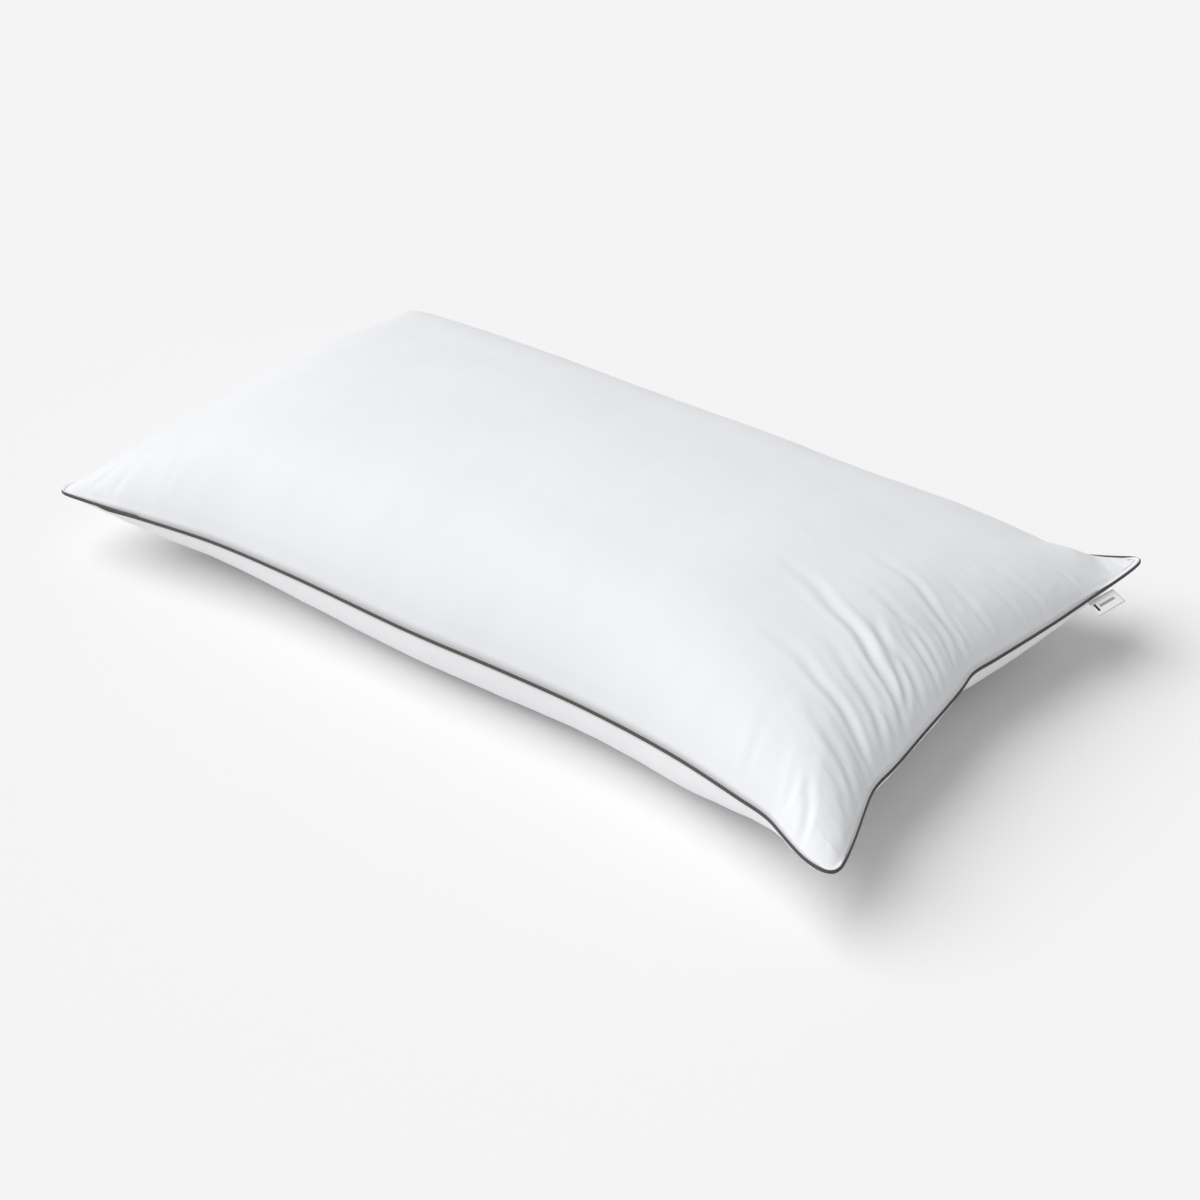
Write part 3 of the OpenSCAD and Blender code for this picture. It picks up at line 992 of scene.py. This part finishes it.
def flap_point(along, run):
    """A point of the folded ribbon: along the seam, and round its section."""
    reach = LABEL_REACH - PLY_GAP
    straight = 2 * reach + math.pi * PLY_GAP
    d = run * straight
    if d < reach:
        out, up = d, -PLY_GAP
    elif d > straight - reach:
        out, up = straight - d, PLY_GAP
    else:
        angle = (d - reach) / PLY_GAP - math.pi / 2
        out, up = reach + PLY_GAP * math.cos(angle), PLY_GAP * math.sin(angle)
    out = max(out, ROOT_GAP)
    share = out / LABEL_REACH
    wave = WAVE * share * math.sin(3.1 * along + 0.6) - CURL * share ** 2
    return (HINGE + HINGE_AXIS * along * LABEL_LENGTH
            + flap_dir * out + flap_up * (up + wave))


flap_shape = bmesh.new()
flap_shape.loops.layers.uv.new("ribbon")
bmesh.ops.create_grid(
    flap_shape, x_segments=18, y_segments=30, size=0.5, calc_uvs=True)
for vert in flap_shape.verts:
    vert.co = flap_point(vert.co.x, vert.co.y + 0.5)
bmesh.ops.recalc_face_normals(flap_shape, faces=flap_shape.faces)
flap = to_object(flap_shape, "label_flap_ribbon")
wall = flap.modifiers.new("ribbon_thickness", "SOLIDIFY")
wall.thickness = PLY
wall.offset = 0
print("label root at", HINGE.round(4))

# %% [markdown]
# The tail of the label lies under the piping's tails in the seam. From there
# it curls round the underside of the piping towards the flap's root.

# %% Tail of the label in the seam
label_turn = float(nearest_turns(HINGE[None, :])[0])
half_label = LABEL_LENGTH / 2 / SEAM_LENGTH
HUG_R = PIPE_R + 0.2 * MM
TAIL_THICK = 0.16 * MM
tail_line = np.concatenate([
    [(RAW_INSET - 1.5 * MM, -TAPE_THICK - 0.22 * MM)],
    arc(HUG_R, 344, 252, 9)])
tail_out = tail_line.copy()
tail_out[1:] *= 1 + TAIL_THICK / HUG_R
tail_out[0, 1] -= 0.2 * MM
tail = swept(
    "label_tail_ribbon", np.concatenate([tail_line, tail_out[::-1]]),
    np.linspace(label_turn - half_label, label_turn + half_label, 19), capped=True)
print(f"tail at turn {label_turn:.4f}")

# %% [markdown]
# ## Cotton percale
# The cover is white cotton in a close plain weave, washed and not pressed: a
# matte cloth with a very fine grain and a faint sheen at grazing angles. Real
# threads are 0.25 mm apart, too fine to show at this distance, so the slubs
# are drawn 0.9 mm apart. They follow the flat cut, as woven threads do. Fine
# gathers run in from both ends, and the bottom panel is painted a shade paler:
# this is painted light, for the light the bed throws up onto the underside.

# %% Cover material
SLUB_PITCH, SLUB_LENGTH = 0.9 * MM, 9 * MM
RUMPLE_SIZE, CLOUD_SIZE = 75 * MM, 160 * MM
GATHER_LENGTH, GATHER_PITCH = 70 * MM, 14 * MM
GATHER_FROM, GATHER_FULL = 250 * MM, 440 * MM   # out from the middle


def percale(name, base):
    """White plain weave, with slubs both ways and a soft rumple."""
    cloth = new_material(name)
    at = add(cloth, "ShaderNodeUVMap", {"uv_map": "flat_cut"})
    ways = []
    for pitch_x, pitch_y in ((SLUB_PITCH, SLUB_LENGTH), (SLUB_LENGTH, SLUB_PITCH)):
        stretched = add(cloth, "ShaderNodeMapping",
                        {"Scale": (1 / pitch_x, 1 / pitch_y, 1)},
                        {"Vector": (at, "UV")})
        ways.append(add(cloth, "ShaderNodeTexNoise", {"Scale": 1.0, "Detail": 2.0},
                        {"Vector": (stretched, "Vector")}))
    weave = add(cloth, "ShaderNodeMath", {"operation": "ADD"},
                {0: (ways[0], "Fac"), 1: (ways[1], "Fac")})
    rumple = add(cloth, "ShaderNodeTexNoise",
                 {"noise_type": "RIDGED_MULTIFRACTAL", "Scale": 1 / RUMPLE_SIZE,
                  "Detail": 5.0, "Distortion": 0.6, "Gain": 1.9}, {"Vector": (at, "UV")})
    cloudy = add(cloth, "ShaderNodeTexNoise", {"Scale": 1 / CLOUD_SIZE, "Detail": 2.0},
                 {"Vector": (at, "UV")})
    tint = add(cloth, "ShaderNodeValToRGB", None, {"Fac": (cloudy, "Fac")})
    tint.color_ramp.elements[0].color = linear(base[0])
    tint.color_ramp.elements[1].color = linear(base[1])
    grain = add(cloth, "ShaderNodeBump", {"Strength": 0.25, "Distance": 0.08 * MM},
                {"Height": (weave, "Value")})
    both = add(cloth, "ShaderNodeBump", {"Strength": 0.5, "Distance": 1.8 * MM},
               {"Height": (rumple, "Fac"), "Normal": (grain, "Normal")})
    parts = add(cloth, "ShaderNodeSeparateXYZ", None, {"Vector": (at, "UV")})
    far = add(cloth, "ShaderNodeMath", {"operation": "ABSOLUTE"}, {0: (parts, "X")})
    near_end = add(cloth, "ShaderNodeMapRange",
                   {"From Min": GATHER_FROM, "From Max": GATHER_FULL},
                   {"Value": (far, "Value")})
    gather_at = add(cloth, "ShaderNodeMapping",
                    {"Scale": (1 / GATHER_LENGTH, 1 / GATHER_PITCH, 1)},
                    {"Vector": (at, "UV")})
    gathers = add(cloth, "ShaderNodeTexNoise",
                  {"noise_type": "RIDGED_MULTIFRACTAL", "Scale": 1.0, "Detail": 3.0,
                   "Distortion": 0.9, "Gain": 1.6}, {"Vector": (gather_at, "Vector")})
    shown = add(cloth, "ShaderNodeMath", {"operation": "MULTIPLY"},
                {0: (gathers, "Fac"), 1: (near_end, "Result")})
    drawn = add(cloth, "ShaderNodeBump", {"Strength": 0.45, "Distance": 1.1 * MM},
                {"Height": (shown, "Value"), "Normal": (both, "Normal")})
    return finish_material(
        cloth,
        {"Roughness": 0.88, "Specular IOR Level": 0.3, "Sheen Weight": 0.12,
         "Sheen Roughness": 0.5},
        {"Base Color": (tint, "Color"), "Normal": (drawn, "Normal")})


top_panel.data.materials.append(
    percale("washed_cotton_percale", ("#dfe0e3", "#e7e8eb")))
# The bottom panel takes a paler copy of the same percale: painted light for its
# underside, which the bed lights from below.
bottom_panel.data.materials.append(
    percale("percale_painted_paler_underside", ("#eff0f2", "#f5f5f7")))
print("percale on both panels")

# %% [markdown]
# ## Charcoal bias twill
# The piping is a dark warm grey twill cut on the bias, so its fine diagonal
# ribs run round the cord. It is matte, with lighter worn ribs.

# %% Piping material
RIB_PITCH = 1.3 * MM    # real ribs are 0.6 mm; drawn coarser so that they show

twill = new_material("charcoal_bias_twill")
at = add(twill, "ShaderNodeUVMap", {"uv_map": "along"})
slanted = add(twill, "ShaderNodeMapping",
              {"Rotation": (0, 0, math.radians(52))}, {"Vector": (at, "UV")})
ribs = add(twill, "ShaderNodeTexWave",
           {"Scale": math.pi / 10 / RIB_PITCH, "Distortion": 0.8, "Detail": 1.0,
            "Detail Scale": 2.0}, {"Vector": (slanted, "Vector")})
dye = add(twill, "ShaderNodeValToRGB", None, {"Fac": (ribs, "Fac")})
dye.color_ramp.elements[0].color = linear("#262321")
dye.color_ramp.elements[1].color = linear("#5d5853")
relief = add(twill, "ShaderNodeBump", {"Strength": 0.6, "Distance": 0.15 * MM},
             {"Height": (ribs, "Fac")})
finish_material(twill, {"Roughness": 0.75, "Sheen Weight": 0.1},
                {"Base Color": (dye, "Color"), "Normal": (relief, "Normal")})
piping.data.materials.append(twill)
print(f"twill ribs every {1000 * RIB_PITCH:.1f} mm")

# %% [markdown]
# ## Cord, thread and fibre
# The hidden pieces get their own finishes: an off-white cotton cord with a
# lay, a white polyester thread with a tight twist and a slight gloss, and a
# matte cloud of white fibre.

# %% Finishes of the hidden pieces
def twisted(name, dark, pale, pitch, roughness, turn):
    """A twisted strand, banded along its own length."""
    strand = new_material(name)
    at = add(strand, "ShaderNodeUVMap", {"uv_map": "along"})
    slant = add(strand, "ShaderNodeMapping", {"Rotation": (0, 0, turn)},
                {"Vector": (at, "UV")})
    bands = add(strand, "ShaderNodeTexWave", {"Scale": math.pi / 10 / pitch},
                {"Vector": (slant, "Vector")})
    shade = add(strand, "ShaderNodeValToRGB", None, {"Fac": (bands, "Fac")})
    shade.color_ramp.elements[0].color = linear(dark)
    shade.color_ramp.elements[1].color = linear(pale)
    relief = add(strand, "ShaderNodeBump", {"Strength": 0.5, "Distance": 0.1 * MM},
                 {"Height": (bands, "Fac")})
    return finish_material(
        strand, {"Roughness": roughness},
        {"Base Color": (shade, "Color"), "Normal": (relief, "Normal")})


cord.data.materials.append(
    twisted("cotton_filler_cord", "#d9d3c6", "#f0ebe0", 2.0 * MM, 0.9, 0.7))
sewing_thread = twisted(
    "polyester_sewing_thread", "#d8dadc", "#f2f3f4", 0.6 * MM, 0.5, 0.9)
for piece in threads:
    piece.data.materials.append(sewing_thread)

fibre = new_material("polyester_fibre_filling")
where = add(fibre, "ShaderNodeTexCoord")
stretch = add(fibre, "ShaderNodeMapping", {"Scale": (60, 60, 220)},
              {"Vector": (where, "Object")})
tufts = add(fibre, "ShaderNodeTexNoise", {"Scale": 1.0, "Detail": 6.0, "Distortion": 1.5},
            {"Vector": (stretch, "Vector")})
tone = add(fibre, "ShaderNodeValToRGB", None, {"Fac": (tufts, "Fac")})
tone.color_ramp.elements[0].color = linear("#dcdcd8")
tone.color_ramp.elements[1].color = linear("#fafaf7")
fluff = add(fibre, "ShaderNodeBump", {"Strength": 0.8, "Distance": 2 * MM},
            {"Height": (tufts, "Fac")})
finish_material(fibre, {"Roughness": 1.0, "Sheen Weight": 0.3},
                {"Base Color": (tone, "Color"), "Normal": (fluff, "Normal")})
filling.data.materials.append(fibre)
print("finishes of cord, threads and fibre")

# %% [markdown]
# ## Satin ribbon
# The label is a soft white woven satin with a little gloss. A plain dark bar
# is woven in near one end, and a plain grey line beside it: there is no
# lettering.

# %% Label material
SATIN = "#eeeeec"
MIX_A, MIX_B, MIX_RESULT = 6, 7, 2      # the colour sockets of a Mix node


def between(material, source, output, low, high):
    """1 where a value lies between two limits, 0 elsewhere."""
    over = add(material, "ShaderNodeMath", {"operation": "GREATER_THAN", 1: low},
               {0: (source, output)})
    below = add(material, "ShaderNodeMath", {"operation": "LESS_THAN", 1: high},
                {0: (source, output)})
    return add(material, "ShaderNodeMath", {"operation": "MULTIPLY"},
               {0: (over, "Value"), 1: (below, "Value")})


def ribbon_material(name, uv_name, marks, rib):
    """White satin with plain woven marks: (across, out, colour) boxes."""
    satin = new_material(name)
    at = add(satin, "ShaderNodeUVMap", {"uv_map": uv_name})
    parts = add(satin, "ShaderNodeSeparateXYZ", None, {"Vector": (at, "UV")})
    base = None
    for across_box, out_box, shade in marks:
        one = between(satin, parts, "X", *across_box)
        two = between(satin, parts, "Y", *out_box)
        mask = add(satin, "ShaderNodeMath", {"operation": "MULTIPLY"},
                   {0: (one, "Value"), 1: (two, "Value")})
        links = {0: (mask, "Value")}
        if base is not None:
            links[MIX_A] = (base, MIX_RESULT)
        base = add(satin, "ShaderNodeMix",
                   {"data_type": "RGBA", MIX_A: linear(SATIN), MIX_B: linear(shade)},
                   links)
    floats = add(satin, "ShaderNodeTexWave", {"Scale": rib, "bands_direction": "Y"},
                 {"Vector": (at, "UV")})
    relief = add(satin, "ShaderNodeBump", {"Strength": 0.3, "Distance": 0.05 * MM},
                 {"Height": (floats, "Fac")})
    links = {"Normal": (relief, "Normal")}
    if base is not None:
        links["Base Color"] = (base, MIX_RESULT)
    return finish_material(
        satin, {"Roughness": 0.45, "Sheen Weight": 0.1, "Base Color": linear(SATIN)},
        links)


def out_share(out):
    """Where a distance out from the hinge lies on the top ply of the flap."""
    return 1 - out / (2 * (LABEL_REACH - PLY_GAP) + math.pi * PLY_GAP)


bar = ((0.07, 0.15), (out_share(12 * MM), out_share(4.6 * MM)), "#161515")
line = ((0.22, 0.80), (out_share(9.6 * MM), out_share(7 * MM)), "#9c9c9c")
flap.data.materials.append(
    ribbon_material("woven_satin_label", "ribbon", (bar, line), 18))
tail.data.materials.append(ribbon_material("woven_satin_tail", "along", (), 300))
print("label has a plain bar and a plain line")

# %% [markdown]
# ## What each piece stands for
# Every visual piece rides on a CAD body and takes the place of one CAD node.
# Only the label's flap moves.

# %% Riding and replacing, with slot names listed but not used
PIECES = [
    (top_panel, "top_panel", "panel_cotton"),
    (bottom_panel, "bottom_panel", "panel_cotton"),
    (filling, "fibre_fill", "fill_fibre"),
    (piping, "piping_cover", "piping_cloth"),
    (cord, "piping_cord", "cord_cotton"),
    (threads[0], "seam_needle_thread", "sewing_thread"),
    (threads[1], "seam_bobbin_thread", "sewing_thread"),
    (threads[2], "closing_needle_thread", "sewing_thread"),
    (threads[3], "closing_bobbin_thread", "sewing_thread"),
    (threads[4], "overedge_thread", "sewing_thread"),
    (flap, "label_flap", "label_ribbon"),
    (tail, "label_tail", "label_ribbon")]
for piece, node, slot in PIECES:
    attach(piece, "label" if node == "label_flap" else "pillow")
    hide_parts(node)

print(len(PIECES), "pieces declared")
